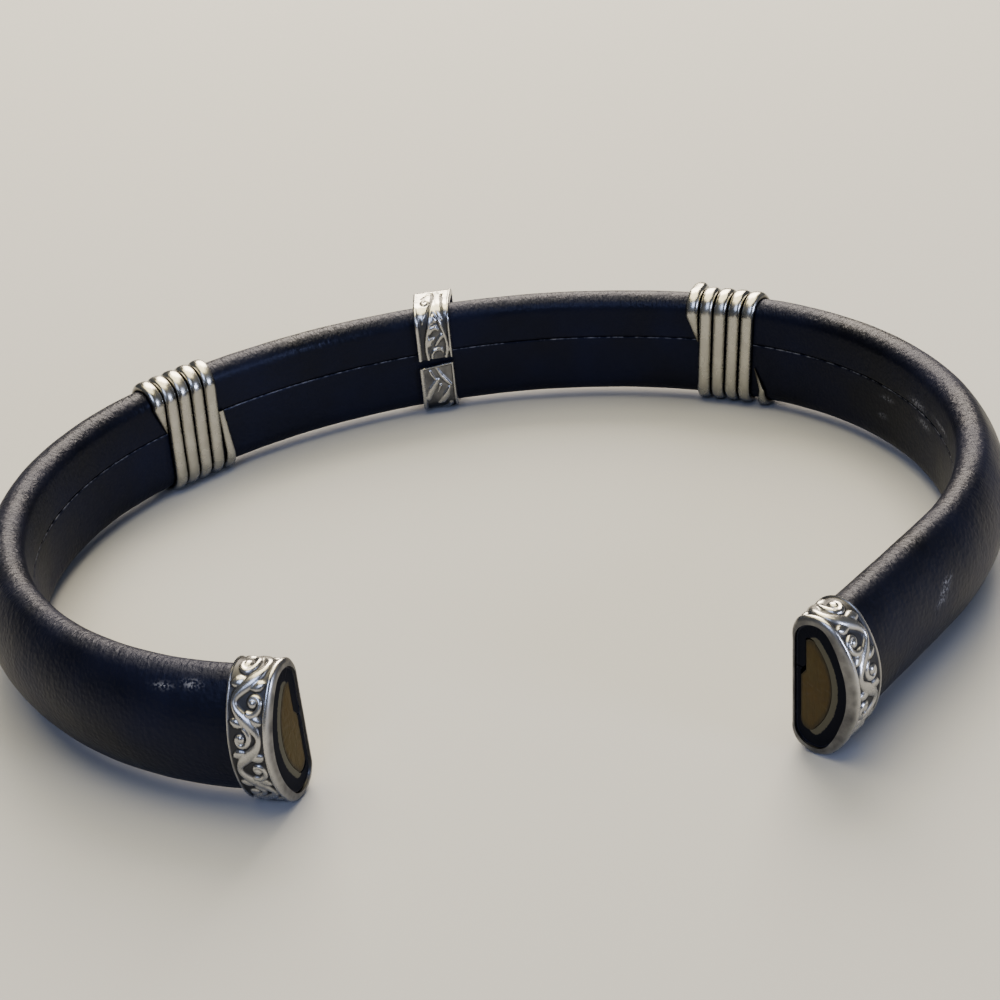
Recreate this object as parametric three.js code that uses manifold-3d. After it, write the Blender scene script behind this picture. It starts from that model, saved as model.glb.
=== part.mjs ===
// Open cuff bracelet: a leather band with silver sleeves, a ring and two wire windings.
// Millimetres, +Z up. The cuff lies on its lower edge, its mouth towards -Y.
// The band follows a path that starts at the middle of its back. Distances along it are
// positive to the right and negative to the left.
import * as THREE from 'three';
import { mergeVertices } from 'three/addons/utils/BufferGeometryUtils.js';
import Module from 'manifold-3d';

// Leather band: flat inner face, domed outer face
const LEATHER_HEIGHT = 8;
const LEATHER_THICKNESS = 3.4;
const EDGE_RADIUS = 0.35 * LEATHER_THICKNESS;
const WRAP_WALL = 1;
const CORE_CLEARANCE = 0.05;
const SEAM_ABOVE_MIDDLE = 0.7;
const SEAM_GAP = 0.2;

// Path of the band, seen from above, as bent by hand: the left end curls in further
const BACK_RADIUS = 38.1;
const RIGHT_HALF = { backDegrees: 27.3, sideRadius: 21.7, sideDegrees: 107.5, straight: 13 };
const LEFT_HALF = { backDegrees: 40.8, sideRadius: 21.1, sideDegrees: 121.2, straight: 3.5 };

// The left end is cut aslant: it is shorter on the outside by so much per mm of thickness
const LEFT_CUT_SLOPE = 0.13;

// Silver strips: the sleeve round each end and the ring near the middle of the back
const METAL_CLEARANCE = 0.08;
const STRIP_WALL = 0.32;
const RIM_WIDTH = 0.32;
const RIM_HEIGHT = 0.08;
const SLEEVE_WIDTH = 2.7;
const SLEEVE_OVERHANG = 0.15;

// The ring is bent squarer than the band: flat over the top with small outer corners and a slight
// bulge between them. It sits askew, further right on the outside by so much per mm of depth.
// The lower edge of the slit on its inner side slants.
const RING_PLACE = -4.37;
const RING_WIDTH = 2.8;
const RING_CORNER_RADIUS = 0.1 * LEATHER_THICKNESS;
const RING_BULGE = 0.03 * LEATHER_THICKNESS;
const RING_TURN = 0.2;
const RING_GAP = 0.56;
const RING_GAP_SLANT = 0.22;

// Raised scrolls and strokes on the strips
const SCROLL_PITCH = 0.7 * SLEEVE_WIDTH;
const SCROLL_TURNS = 1.1;
const SCROLL_END_SHARE = 0.4;
const RIDGE_WIDTH = 0.36;
const RIDGE_HEIGHT = 0.08;
const RIDGE_ROOT = 0.12;
const STROKE_LENGTH = 1.4;

// Half-round wire, wound from its head on the inner face over the top and down the outside.
// A tail rises on the inner face from the foot of it, spread away from the last turn.
// A winding's first turn crosses the top at a share of the half band, its tail rises by a share
// of the leather's height, and its spread and lean are shares of the wire's width.
const WIRE_WIDTH = 0.95;
const WIRE_HEIGHT = STRIP_WALL + RIM_HEIGHT;
const WIRE_GAP = 0.17;
const WIRE_TURNS = 5;
const WIRE_HEAD_LENGTH = 2.2;
const WIRE_HEAD_LEAN = 0.442;
const WIRE_POINT_SHARE = 0.2;
const WINDINGS = [
  {
    name: 'wire_wrap_left', half: LEFT_HALF, sign: -1, firstTop: 0.3627,
    tailRise: 0.4375, tailSpread: 0, tailLean: 0, pointed: false,
  },
  {
    name: 'wire_wrap_right', half: RIGHT_HALF, sign: 1, firstTop: 0.2268,
    tailRise: 0.2125, tailSpread: 0.526, tailLean: -0.737, pointed: true,
  },
];

// Fineness of the facets. The flat at the top and the bottom of a section spans the foot angle.
const PATH_STEP = 3.1;
const EDGE_BACK_STEPS = 3;
const EDGE_FRONT_STEPS = 2;
const DOME_STEPS = 6;
const FOOT_HALF_ANGLE = THREE.MathUtils.degToRad(9);
const SCROLL_STEPS = 7;
const LEAST_EDGE = 0.1;

const LEATHER_BLACK = { color: 0x15171f, roughness: 0.5, metalness: 0 };
const LEATHER_BROWN = { color: 0x7d6233, roughness: 0.75, metalness: 0 };
const OLD_SILVER = { color: 0xc4beb0, roughness: 0.3, metalness: 1 };

// Path

function alongArc(spot, radius, distance) {
  const turn = distance / radius;
  return {
    x: spot.x + radius * (Math.sin(spot.heading) - Math.sin(spot.heading - turn)),
    y: spot.y + radius * (Math.cos(spot.heading - turn) - Math.cos(spot.heading)),
    heading: spot.heading - turn,
  };
}

function arcLengths(half) {
  return {
    back: BACK_RADIUS * THREE.MathUtils.degToRad(half.backDegrees),
    side: half.sideRadius * THREE.MathUtils.degToRad(half.sideDegrees),
  };
}

function halfLength(half) {
  const arcs = arcLengths(half);
  return arcs.back + arcs.side + half.straight;
}

// Place on the path with the direction that points out of the cuff
function pathSpot(distance) {
  const half = distance < 0 ? LEFT_HALF : RIGHT_HALF;
  const mirror = distance < 0 ? -1 : 1;
  const walked = Math.abs(distance);
  const arcs = arcLengths(half);
  let spot = alongArc({ x: 0, y: 0, heading: 0 }, BACK_RADIUS, Math.min(walked, arcs.back));
  if (walked > arcs.back) spot = alongArc(spot, half.sideRadius, Math.min(walked - arcs.back, arcs.side));
  const straight = Math.max(walked - arcs.back - arcs.side, 0);
  return {
    x: mirror * (spot.x + straight * Math.cos(spot.heading)),
    y: spot.y + straight * Math.sin(spot.heading),
    outX: -mirror * Math.sin(spot.heading),
    outY: Math.cos(spot.heading),
  };
}

// Share of the way from one value to another, held between 0 and 1
function shareBetween(from, to, value) {
  return THREE.MathUtils.clamp((value - from) / (to - from), 0, 1);
}

// Point of the band's section, out across the band and up, at a distance along the path. The
// slant of the left cut grows along the sleeve there.
function place(distance, point) {
  const leftEnd = -halfLength(LEFT_HALF);
  const slope = LEFT_CUT_SLOPE * shareBetween(leftEnd + SLEEVE_WIDTH, leftEnd, distance);
  const spot = pathSpot(distance + slope * point.out);
  return new THREE.Vector3(spot.x + point.out * spot.outX, spot.y + point.out * spot.outY, point.up);
}

function evenSteps(from, to, steps) {
  return Array.from({ length: steps + 1 }, (_, i) => from + ((to - from) * i) / steps);
}

// Distances at which the band's section is drawn, from its left end to its right end
function stations() {
  const halfMarks = (half) => {
    const arcs = arcLengths(half);
    const bend = arcs.back + arcs.side;
    return [
      ...evenSteps(0, arcs.back, Math.ceil(arcs.back / PATH_STEP)),
      ...evenSteps(arcs.back, bend, Math.ceil(arcs.side / PATH_STEP)).slice(1),
      halfLength(half),
    ];
  };
  const left = halfMarks(LEFT_HALF).slice(1).map((distance) => -distance);
  return [...left.reverse(), ...halfMarks(RIGHT_HALF)];
}

// Section of the band

// Outer corners of a section: the place of their centres past the inner ones, and their radius
const BAND_CORNER = { out: 0, radius: EDGE_RADIUS };
const RING_CORNER = {
  out: LEATHER_THICKNESS - EDGE_RADIUS - RING_BULGE - RING_CORNER_RADIUS,
  radius: RING_CORNER_RADIUS,
};

// Outline of a section grown outwards, or inwards below 0. It runs from the top of the flat
// inner face over the top edge, the dome and the bottom edge to the foot of the inner face.
function sectionOutline(grow, corner = BAND_CORNER) {
  const back = EDGE_RADIUS + grow;
  const front = LEATHER_THICKNESS - EDGE_RADIUS + grow;
  const edge = Math.max(EDGE_RADIUS + grow, LEAST_EDGE);
  const edgeOut = edge - back;
  const edgeUp = LEATHER_HEIGHT / 2 + grow - edge;
  const round = Math.max(corner.radius + grow, LEAST_EDGE);
  const roundOut = edgeOut + corner.out;
  const roundUp = edgeUp + (edge - round) * Math.cos(FOOT_HALF_ANGLE);
  const span = front - roundOut;
  const dome = (span * span + roundUp * roundUp - round * round) / (2 * (span - round));
  const domeOut = front - dome;
  const meet = Math.atan2(roundUp, roundOut - domeOut);
  const arc = (out, up, radius, angles) => angles.map((angle) => ({
    out: out + radius * Math.cos(angle),
    up: up + radius * Math.sin(angle),
  }));
  const top = [
    ...arc(edgeOut, edgeUp, edge, evenSteps(Math.PI, Math.PI / 2 + FOOT_HALF_ANGLE, EDGE_BACK_STEPS)),
    ...arc(roundOut, roundUp, round, evenSteps(Math.PI / 2 - FOOT_HALF_ANGLE, meet, EDGE_FRONT_STEPS)),
  ];
  const bulge = evenSteps(meet, -meet, DOME_STEPS).slice(1, -1).map((angle) => ({
    out: domeOut + dome * Math.cos(angle),
    up: dome * Math.sin(angle),
  }));
  const bottom = [...top].reverse().map((point) => ({ out: point.out, up: -point.up }));
  return [...top, ...bulge, ...bottom];
}

// Point of a closed outline at a whole or broken index
function outlinePoint(outline, index) {
  const turns = ((index % outline.length) + outline.length) % outline.length;
  const from = outline[Math.floor(turns)];
  const to = outline[(Math.floor(turns) + 1) % outline.length];
  const share = turns - Math.floor(turns);
  return { out: from.out + (to.out - from.out) * share, up: from.up + (to.up - from.up) * share };
}

// Lengths round a closed outline: the whole girth, and the index that lies at a distance
function measureOutline(outline) {
  const sums = [0];
  outline.forEach((point, i) => {
    const next = outline[(i + 1) % outline.length];
    sums.push(sums[i] + Math.hypot(next.out - point.out, next.up - point.up));
  });
  const girth = sums[outline.length];
  const distanceAt = (index) => {
    const turns = Math.floor(index / outline.length);
    const rest = index - turns * outline.length;
    const i = Math.floor(rest);
    return turns * girth + sums[i] + (sums[i + 1] - sums[i]) * (rest - i);
  };
  const indexAt = (distance) => {
    const turns = Math.floor(distance / girth);
    const rest = distance - turns * girth;
    const i = Math.min(sums.findLastIndex((sum) => sum <= rest), outline.length - 1);
    return turns * outline.length + i + (rest - sums[i]) / (sums[i + 1] - sums[i]);
  };
  return { girth, distanceAt, indexAt };
}

// Solids

// Closed solid through loops of points, which is either capped at both ends or joined to itself
function solidThroughLoops(loops, capped) {
  const count = loops[0].length;
  const faces = [];
  const lastLoop = capped ? loops.length - 1 : loops.length;
  for (let row = 0; row < lastLoop; row += 1) {
    const next = ((row + 1) % loops.length) * count;
    for (let i = 0; i < count; i += 1) {
      const j = (i + 1) % count;
      const [a, b, c, d] = [row * count + i, row * count + j, next + j, next + i];
      faces.push(a, b, c, a, c, d);
    }
  }
  if (capped) {
    for (const [start, flip] of [[0, true], [(loops.length - 1) * count, false]]) {
      const corner = (a, b, c) => faces.push(start + a, start + (flip ? c : b), start + (flip ? b : c));
      let low = 0;
      let high = count - 1;
      while (high - low > 1) {
        corner(low, low + 1, high);
        low += 1;
        if (high - low > 1) {
          corner(low, high - 1, high);
          high -= 1;
        }
      }
    }
  }
  const points = loops.flat();
  if (signedVolume(points, faces) < 0) faces.reverse();
  const geometry = new THREE.BufferGeometry().setFromPoints(points);
  geometry.setIndex(faces);
  return geometry;
}

function signedVolume(points, faces) {
  let sum = 0;
  for (let i = 0; i < faces.length; i += 3) {
    const [a, b, c] = [points[faces[i]], points[faces[i + 1]], points[faces[i + 2]]];
    sum += a.dot(new THREE.Vector3().crossVectors(b, c));
  }
  return sum / 6;
}

const wasm = await Module();
wasm.setup();

function toManifold(geometry) {
  const bare = geometry.clone();
  bare.deleteAttribute('normal');
  bare.deleteAttribute('uv');
  const merged = mergeVertices(bare, 1e-5);
  return new wasm.Manifold(new wasm.Mesh({
    numProp: 3,
    vertProperties: new Float32Array(merged.attributes.position.array),
    triVerts: new Uint32Array(merged.index.array),
  }));
}

function joinSolids(first, others) {
  const whole = others.reduce((sum, other) => sum.add(toManifold(other)), toManifold(first));
  const mesh = whole.getMesh();
  const geometry = new THREE.BufferGeometry();
  geometry.setAttribute('position', new THREE.BufferAttribute(new Float32Array(mesh.vertProperties), 3));
  geometry.setIndex(new THREE.BufferAttribute(new Uint32Array(mesh.triVerts), 1));
  return geometry;
}

// Leather

function makeLeatherWrap() {
  const skin = (grow) => {
    const outline = sectionOutline(grow);
    const lip = (side) => ({ out: outline[0].out, up: SEAM_ABOVE_MIDDLE + (side * SEAM_GAP) / 2 });
    return [lip(1), ...outline, lip(-1)];
  };
  const section = [...skin(0), ...skin(-WRAP_WALL).reverse()];
  return solidThroughLoops(stations().map((mark) => section.map((point) => place(mark, point))), true);
}

function makeLeatherCore() {
  const section = sectionOutline(-WRAP_WALL - CORE_CLEARANCE);
  return solidThroughLoops(stations().map((mark) => section.map((point) => place(mark, point))), true);
}

// Silver strips

// What a strip is bent round: the outline of its section and the places along the path
const BAND_SEAT = { outline: sectionOutline, place };
const RING_SEAT = {
  outline: (grow) => sectionOutline(grow, RING_CORNER),
  place: (distance, point) => place(distance + RING_TURN * (point.out + EDGE_RADIUS), point),
};

// Profile across a strip, as places along the path and heights over the leather: a flat back,
// a raised rim along each side, and the field between them
function stripProfile(from, to) {
  const foot = METAL_CLEARANCE;
  const field = METAL_CLEARANCE + STRIP_WALL;
  const rim = field + RIM_HEIGHT;
  const side = (edge, inward) => [
    [edge, foot], [edge, rim], [edge + inward * (RIM_WIDTH - RIM_HEIGHT), rim], [edge + inward * RIM_WIDTH, field],
  ];
  return [...side(from, 1), ...side(to, -1).reverse()];
}

// Ridge with a sharp back on a strip, through points given round the band and across the strip
function makeRidge(seat, middle, points) {
  const field = METAL_CLEARANCE + STRIP_WALL;
  const root = seat.outline(field - RIDGE_ROOT);
  const crest = seat.outline(field + RIDGE_HEIGHT);
  const girthwise = measureOutline(seat.outline(field));
  const loops = points.map((point, i) => {
    const before = points[Math.max(i - 1, 0)];
    const after = points[Math.min(i + 1, points.length - 1)];
    const length = Math.hypot(after.round - before.round, after.across - before.across);
    const half = RIDGE_WIDTH / 2 / length;
    const side = { round: -(after.across - before.across) * half, across: (after.round - before.round) * half };
    const corner = (outline, sign) => seat.place(
      middle + point.across + sign * side.across,
      outlinePoint(outline, girthwise.indexAt(point.round + sign * side.round)),
    );
    return [corner(root, -1), corner(crest, 0), corner(root, 1)];
  });
  return solidThroughLoops(loops, true);
}

// Running scroll: spirals that open to either side of the strip in turn
function makeScrolls(seat, middle, fieldWidth, start, end) {
  const count = Math.max(1, Math.round((end - start) / SCROLL_PITCH));
  const pitch = (end - start) / count;
  const radius = Math.min(fieldWidth / 2, pitch / 2) - RIDGE_WIDTH / 2;
  return evenSteps(start + pitch / 2, end - pitch / 2, Math.max(count - 1, 1)).slice(0, count).map((round, i) => {
    const hand = i % 2 ? -1 : 1;
    return makeRidge(seat, middle, evenSteps(0, 1, SCROLL_STEPS).map((share) => {
      const reach = radius * (1 - (1 - SCROLL_END_SHARE) * share);
      const angle = share * SCROLL_TURNS * 2 * Math.PI;
      return { round: round - reach * Math.cos(angle), across: hand * reach * Math.sin(angle) };
    }));
  });
}

// Two strokes that cross, leaning to either side
function makeCross(seat, middle, round) {
  const reach = STROKE_LENGTH / 2 / Math.SQRT2;
  return [-1, 1].map((hand) => makeRidge(seat, middle, [
    { round: round - reach, across: -hand * reach },
    { round: round + reach, across: hand * reach },
  ]));
}

function makeEndSleeve(end, sign) {
  const rimSide = end + sign * SLEEVE_OVERHANG;
  const bandSide = rimSide - sign * SLEEVE_WIDTH;
  const profile = stripProfile(Math.min(rimSide, bandSide), Math.max(rimSide, bandSide));
  const outlines = profile.map(([, grow]) => sectionOutline(grow));
  const loops = outlines[0].map((_, i) => profile.map(([mark], j) => place(mark, outlines[j][i])));
  const strip = solidThroughLoops(loops, false);
  const girth = measureOutline(sectionOutline(METAL_CLEARANCE + STRIP_WALL)).girth;
  const middle = (rimSide + bandSide) / 2;
  return joinSolids(strip, makeScrolls(BAND_SEAT, middle, SLEEVE_WIDTH - 2 * RIM_WIDTH, 0, girth));
}

function makeCentreRing() {
  const profile = stripProfile(RING_PLACE - RING_WIDTH / 2, RING_PLACE + RING_WIDTH / 2);
  const outlines = profile.map(([, grow]) => RING_SEAT.outline(grow));
  const slitEdge = (side, slant) => profile.map(([mark], j) => RING_SEAT.place(mark, {
    out: outlines[j][0].out,
    up: (side * RING_GAP) / 2 + (slant * (mark - RING_PLACE)) / RING_WIDTH,
  }));
  const loops = [
    slitEdge(1, 0),
    ...outlines[0].map((_, i) => profile.map(([mark], j) => RING_SEAT.place(mark, outlines[j][i]))),
    slitEdge(-1, RING_GAP_SLANT),
  ];
  const field = RING_SEAT.outline(METAL_CLEARANCE + STRIP_WALL);
  const innerTop = field[0].up - RING_GAP;
  const innerFoot = measureOutline(field).girth - 2 * field[0].up;
  return joinSolids(solidThroughLoops(loops, true), [
    ...makeScrolls(RING_SEAT, RING_PLACE, RING_WIDTH - 2 * RIM_WIDTH, -innerTop, innerFoot),
    ...makeCross(RING_SEAT, RING_PLACE, innerFoot + STROKE_LENGTH / 2),
  ]);
}

// Wire

// The wire is walked by index round the outline of its seat, each whole turn adding as many as
// the outline has points. The head lies below 0, the tail past the foot of the last inner face,
// and the first turn crosses the top halfway along the flat there.
function makeWinding(winding) {
  const half = WIRE_WIDTH / 2;
  const shoulder = METAL_CLEARANCE + WIRE_HEIGHT * Math.SQRT1_2;
  const wireSection = [
    [-half, METAL_CLEARANCE], [-half * Math.SQRT1_2, shoulder], [0, METAL_CLEARANCE + WIRE_HEIGHT],
    [half * Math.SQRT1_2, shoulder], [half, METAL_CLEARANCE],
  ];
  const outlines = wireSection.map(([, grow]) => sectionOutline(grow));
  const seat = outlines[0];
  const { girth, distanceAt } = measureOutline(seat);
  const innerFace = 2 * seat[0].up;
  const headEnd = -WIRE_HEAD_LENGTH / innerFace;
  const pitch = WIRE_WIDTH + WIRE_GAP;
  const start = winding.sign * winding.firstTop * halfLength(winding.half);
  const topFlat = EDGE_BACK_STEPS + 0.5;
  const lastTop = topFlat + (WIRE_TURNS - 1) * seat.length;
  const lastFoot = WIRE_TURNS * seat.length - 1;
  const tailEnd = lastFoot + (winding.tailRise * LEATHER_HEIGHT) / innerFace;
  const indices = [headEnd, headEnd / 2, ...evenSteps(0, lastFoot, lastFoot), (lastFoot + tailEnd) / 2, tailEnd];
  const loops = indices.map((index) => {
    const head = shareBetween(0, headEnd, index);
    const tail = shareBetween(lastFoot, tailEnd, index);
    const tapered = Math.max(head, winding.pointed ? tail : 0);
    const width = 1 - tapered * (1 - WIRE_POINT_SHARE);
    const advance = (pitch * (distanceAt(index) - distanceAt(topFlat))) / girth;
    const spread = winding.tailSpread * shareBetween(lastTop, lastFoot, index);
    const lean = WIRE_HEAD_LEAN * head + spread + winding.tailLean * tail;
    const middle = start + advance + WIRE_WIDTH * lean;
    return wireSection.map(([across], j) => place(middle + across * width, outlinePoint(outlines[j], index)));
  });
  return solidThroughLoops(loops, true);
}

// Assembly

function addPiece(assembly, name, geometry, finish) {
  const mesh = new THREE.Mesh(geometry, new THREE.MeshStandardMaterial(finish));
  mesh.name = name;
  assembly.add(mesh);
}

const cuff = new THREE.Group();
addPiece(cuff, 'leather_wrap', makeLeatherWrap(), LEATHER_BLACK);
addPiece(cuff, 'leather_core', makeLeatherCore(), LEATHER_BROWN);
addPiece(cuff, 'end_sleeve_left', makeEndSleeve(-halfLength(LEFT_HALF), -1), OLD_SILVER);
addPiece(cuff, 'end_sleeve_right', makeEndSleeve(halfLength(RIGHT_HALF), 1), OLD_SILVER);
addPiece(cuff, 'centre_ring', makeCentreRing(), OLD_SILVER);
for (const winding of WINDINGS) addPiece(cuff, winding.name, makeWinding(winding), OLD_SILVER);

// The origin lies under the middle of the cuff, on the surface that it rests on
const box = new THREE.Box3().setFromObject(cuff, true);
const middle = box.getCenter(new THREE.Vector3());
cuff.position.set(-middle.x, -middle.y, -box.min.z);

export default cuff;
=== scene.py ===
import math

import bpy
import numpy as np
from mathutils import Matrix, Vector


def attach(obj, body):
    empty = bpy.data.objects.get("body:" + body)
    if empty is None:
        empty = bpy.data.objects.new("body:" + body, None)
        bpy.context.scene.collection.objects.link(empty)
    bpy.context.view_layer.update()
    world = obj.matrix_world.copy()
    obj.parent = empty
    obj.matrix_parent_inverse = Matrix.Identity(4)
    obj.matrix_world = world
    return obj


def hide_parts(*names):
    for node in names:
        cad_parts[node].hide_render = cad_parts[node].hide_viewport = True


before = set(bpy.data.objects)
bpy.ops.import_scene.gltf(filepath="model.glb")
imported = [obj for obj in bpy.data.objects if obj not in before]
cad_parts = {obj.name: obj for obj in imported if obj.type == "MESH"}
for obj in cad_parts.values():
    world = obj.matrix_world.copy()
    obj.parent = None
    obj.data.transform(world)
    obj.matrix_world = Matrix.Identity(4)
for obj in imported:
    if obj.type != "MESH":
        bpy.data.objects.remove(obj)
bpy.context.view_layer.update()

# Leather wrap
# A strip of drum-dyed hide, 1.2 mm thick, folded round a stiff filling and glued. Its two edges
# were pared thinner and meet in a seam along the flat inner face. Then the band was bent.
LEATHER_HEIGHT = 8.0
LEATHER_THICKNESS = 3.4
EDGE_RADIUS = 0.35 * LEATHER_THICKNESS
WRAP_WALL = 1.2
INNER_FOLD_UPPER = 0.6
INNER_FOLD_LOWER = 0.3
SEAM_GAP = 0.07
SEAM_HEIGHT_LEFT = 0.4
SEAM_HEIGHT_RIGHT = 1.0
UNEVENNESS = 0.035
BACK_RADIUS = 38.1
RIGHT_HALF = (math.radians(27.3), 21.7, math.radians(107.5), 13.0)
LEFT_HALF = (math.radians(40.8), 21.1, math.radians(121.2), 3.5)
BAND_MIDDLE = (1.495172, 23.710586, 4.459440)
LEFT_CUT_SLOPE = 0.13
LEFT_CUT_REACH = 2.7
# Rubbed places, and painted highlights: the three on the right outer side are a painted highlight streak, the two on
# the left dome painted sheen specks. Where along the band and round it, and half how long and how wide
SCUFFS_AND_GLINTS = (
    (38.0, -1.55, 0.9, 0.22), (39.2, 16.6, 0.8, 0.2), (34.1, 16.4, 0.5, 0.13), (33.6, 14.9, 0.4, 0.1),
    (42.5, -1.3, 1.4, 0.1), (61.0, 5.3, 0.4, 0.16), (61.4, 5.7, 0.4, 0.16), (61.8, 6.15, 0.4, 0.16),
    (-69.0, 3.4, 0.4, 0.15), (-70.6, 3.1, 0.4, 0.2),
)


def half_length(half):
    back_turn, side_radius, side_turn, straight = half
    return BACK_RADIUS * back_turn + side_radius * side_turn + straight


LEFT_END = -half_length(LEFT_HALF)
RIGHT_END = half_length(RIGHT_HALF)


def band_place(distance):
    """Places on the band's path, seen from above, in mm, and the directions out of the cuff."""
    distance = np.asarray(distance, float)
    sign = np.where(distance < 0, -1.0, 1.0)
    walked = np.abs(distance)
    back_turn, side_radius, side_turn = (
        np.where(distance < 0, left, right) for left, right in list(zip(LEFT_HALF, RIGHT_HALF))[:3]
    )
    first = np.minimum(walked / BACK_RADIUS, back_turn)
    on_side = walked - BACK_RADIUS * back_turn
    turned = first + np.clip(on_side / side_radius, 0, side_turn)
    rest = np.maximum(on_side - side_radius * side_turn, 0)
    x = BACK_RADIUS * np.sin(first) + side_radius * (np.sin(turned) - np.sin(first)) + rest * np.cos(turned)
    y = BACK_RADIUS * (np.cos(first) - 1) + side_radius * (np.cos(turned) - np.cos(first)) - rest * np.sin(turned)
    return sign * x + BAND_MIDDLE[0], y + BAND_MIDDLE[1], sign * np.sin(turned), np.cos(turned)


def band_section(corner_out, corner_radius):
    """Outline of a section, out of the cuff and up, in steps of 0.05 mm. It runs from the top of
    the flat inner face over the top edge, down the dome and up the inner face."""
    edge_up = LEATHER_HEIGHT / 2 - EDGE_RADIUS
    corner_up = LEATHER_HEIGHT / 2 - corner_radius
    front = LEATHER_THICKNESS - EDGE_RADIUS
    span = front - corner_out
    dome = (span**2 + corner_up**2 - corner_radius**2) / (2 * (span - corner_radius))
    meet = math.atan2(corner_up, corner_out - front + dome)
    steps = lambda start, end, reach: np.linspace(start, end, math.ceil(abs(end - start) * reach / 0.05) + 1)[:-1]
    arc = lambda out, up, radius, turns: np.stack([out + radius * np.cos(turns), up + radius * np.sin(turns)], 1)
    flat = steps(0, corner_out, 1)
    top = np.concatenate([
        arc(0, edge_up, EDGE_RADIUS, steps(math.pi, math.pi / 2, EDGE_RADIUS)),
        np.stack([flat, np.full(len(flat), LEATHER_HEIGHT / 2)], 1),
        arc(corner_out, corner_up, corner_radius, steps(math.pi / 2, meet, corner_radius)),
    ])
    face = steps(-edge_up, edge_up, 1)
    return np.concatenate([
        top, arc(front - dome, 0, dome, steps(meet, -meet, dome)), top[:0:-1] * (1, -1),
        np.stack([np.full(len(face), -EDGE_RADIUS), face], 1),
    ])


def cut_lean(along):
    """Lean of the pieces towards the slanting cut of the left end."""
    return LEFT_CUT_SLOPE * np.clip((LEFT_END + LEFT_CUT_REACH - along) / LEFT_CUT_REACH, 0, 1)


def wall_depth(around, seam):
    """Thickness of the wrap by the place round the band: its two edges were pared thin."""
    face_foot = GIRTH - INNER_FACE
    place = np.mod(around, GIRTH)
    marks = (0, 1.2, face_foot - 1.3, face_foot + 0.2, GIRTH + seam - 0.2, GIRTH + seam + 0.2, GIRTH)
    depths = (
        INNER_FOLD_UPPER, WRAP_WALL, WRAP_WALL, INNER_FOLD_LOWER, INNER_FOLD_LOWER, INNER_FOLD_UPPER, INNER_FOLD_UPPER,
    )
    return np.interp(place, marks, depths)


def guide_curve(name, points, closed):
    data = bpy.data.curves.new(name, "CURVE")
    data.dimensions = "3D"
    line = data.splines.new("POLY")
    line.points.add(len(points) - 1)
    line.points.foreach_set("co", np.c_[points, np.ones(len(points))].ravel())
    line.use_cyclic_u = closed
    guide = bpy.data.objects.new(name, data)
    bpy.context.collection.objects.link(guide)
    return guide


PATH_START = LEFT_END - 1
path_x, path_y, _, _ = band_place(np.arange(PATH_START, RIGHT_END + 1, 0.2))
path_guide = guide_curve("band_path", np.c_[path_x, path_y, np.full(len(path_x), BAND_MIDDLE[2])], False)


def section_curve(name, outline):
    """Guide curve of an outline, and its length."""
    girth = float(np.hypot(*(np.roll(outline, -1, 0) - outline).T).sum())
    return guide_curve(name, np.c_[outline, np.zeros(len(outline))], True), girth


section_points = band_section(0, EDGE_RADIUS)
section_guide, GIRTH = section_curve("leather_section", section_points)
INNER_FACE = LEATHER_HEIGHT - 2 * EDGE_RADIUS


def add(tree, kind, links=None, **settings):
    """Adds a node with its settings. Links give each socket a number, or what feeds it."""
    node = tree.nodes.new(kind)
    for name, value in settings.items():
        setattr(node, name, value)
    for socket, value in (links or {}).items():
        if isinstance(value, bpy.types.NodeSocket):
            tree.links.new(value, node.inputs[socket])
        else:
            node.inputs[socket].default_value = value
    return node


def new_tree(name, inputs):
    """Geometry node tree with named inputs. Gives the tree and its input node."""
    tree = bpy.data.node_groups.new(name, "GeometryNodeTree")
    for label, kind in inputs:
        tree.interface.new_socket(name=label, in_out="INPUT", socket_type="NodeSocket" + kind)
    tree.interface.new_socket(name="Piece", in_out="OUTPUT", socket_type="NodeSocketGeometry")
    return tree, tree.nodes.new("NodeGroupInput").outputs


# The pieces are drawn flat, as the leather and the silver were cut: X along the band, Y round its
# section from the top of the inner face, Z off the leather. This tree wraps them round the band.
# A point's lean moves it along the band by so much per mm out of the cuff.
wrap_tree, given = new_tree("wrap round the band", (
    ("Flat piece", "Geometry"), ("Band path", "Object"), ("Section", "Object"),
    ("Path start", "Float"), ("Lift off the leather", "Float"), ("Surface", "Material"),
))
path = add(wrap_tree, "GeometryNodeObjectInfo", {"Object": given["Band path"]}).outputs["Geometry"]
section = add(wrap_tree, "GeometryNodeObjectInfo", {"Object": given["Section"]}).outputs["Geometry"]
flat_place = add(wrap_tree, "GeometryNodeInputPosition").outputs[0]
flat = add(wrap_tree, "ShaderNodeSeparateXYZ", {0: flat_place}).outputs
marked = add(wrap_tree, "GeometryNodeStoreNamedAttribute",
             {"Geometry": given["Flat piece"], "Name": "flat", "Value": flat_place},
             data_type="FLOAT_VECTOR", domain="POINT")
girth = add(wrap_tree, "GeometryNodeCurveLength", {"Curve": section})
around = add(wrap_tree, "ShaderNodeMath", {0: flat["Y"], 1: girth.outputs[0]}, operation="FLOORED_MODULO")
on_section = add(wrap_tree, "GeometryNodeSampleCurve", {"Curves": section, "Length": around.outputs[0]},
                 mode="LENGTH", use_all_curves=True).outputs
skin = add(wrap_tree, "ShaderNodeSeparateXYZ", {0: on_section["Position"]}).outputs
run = add(wrap_tree, "ShaderNodeSeparateXYZ", {0: on_section["Tangent"]}).outputs
height = add(wrap_tree, "ShaderNodeMath", {0: flat["Z"], 1: given["Lift off the leather"]}).outputs[0]
minus_height = add(wrap_tree, "ShaderNodeMath", {0: height, 1: -1.0}, operation="MULTIPLY").outputs[0]
out = add(wrap_tree, "ShaderNodeMath", {0: run["Y"], 1: minus_height, 2: skin["X"]}, operation="MULTIPLY_ADD")
up = add(wrap_tree, "ShaderNodeMath", {0: run["X"], 1: height, 2: skin["Y"]}, operation="MULTIPLY_ADD")
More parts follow.
